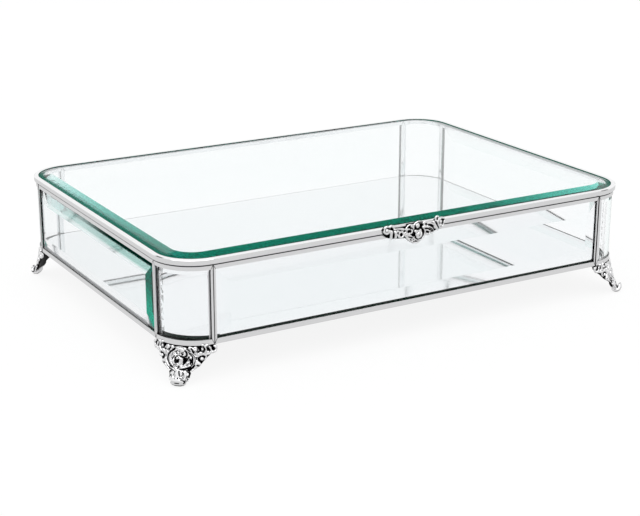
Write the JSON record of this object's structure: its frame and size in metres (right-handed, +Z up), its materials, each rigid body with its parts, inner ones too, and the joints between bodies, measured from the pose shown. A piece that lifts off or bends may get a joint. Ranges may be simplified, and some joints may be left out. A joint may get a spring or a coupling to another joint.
{
  "type": "glass casket box",
  "caption": "Low rectangular glass box with rounded corners: bevelled panes in polished metal channel, mirror floor, hinged glass lid, rose clasp and cast scroll feet.",
  "frame": {"origin": "on the table under the middle of the box", "axes": "+X along the long front, to the right as seen from the front; front towards -Y; +Z up"},
  "size_m": [0.3066, 0.223, 0.0688],
  "materials": {
    "silver_channel": "silver plated and polished",
    "pane_glass": "clear float glass, bevelled and polished",
    "lid_glass": "clear float glass, bevelled and polished, green at its edge",
    "mirror_glass": "silvered glass",
    "dark_solder": "dark patina",
    "cast_silver": "silver plated casting, dark in its recesses",
    "hinge_silver": "silver plated and polished"
  },
  "bodies": {
    "case": {"front_frame": "silver_channel", "back_frame": "silver_channel", "left_frame": "silver_channel", "right_frame": "silver_channel", "corner_frame_front_left": "silver_channel", "corner_frame_front_right": "silver_channel", "corner_frame_back_left": "silver_channel", "corner_frame_back_right": "silver_channel", "front_pane": "pane_glass", "back_pane": "pane_glass", "left_pane": "pane_glass", "right_pane": "pane_glass", "bent_pane_front_left": "pane_glass", "bent_pane_front_right": "pane_glass", "bent_pane_back_left": "pane_glass", "bent_pane_back_right": "pane_glass", "seam_solder": "dark_solder", "mirror_floor": "mirror_glass", "foot_front_left": "cast_silver", "foot_front_right": "cast_silver", "foot_back_left": "cast_silver", "foot_back_right": "cast_silver", "case_hinge_left": "hinge_silver", "case_hinge_right": "hinge_silver", "hinge_pin_left": "hinge_silver", "hinge_pin_right": "hinge_silver"},
    "lid": {"lid_rim": "silver_channel", "lid_glass": "lid_glass", "lid_hinge_left": "hinge_silver", "lid_hinge_right": "hinge_silver", "rose_clasp": "cast_silver"}
  },
  "joints": [
    {"name": "lid_hinge", "type": "hinge", "parent": "case", "child": "lid", "pos_m": [0, 0.1102, 0.0635], "axis": [-1, 0, 0], "range_deg": [0, 105]}
  ]
}
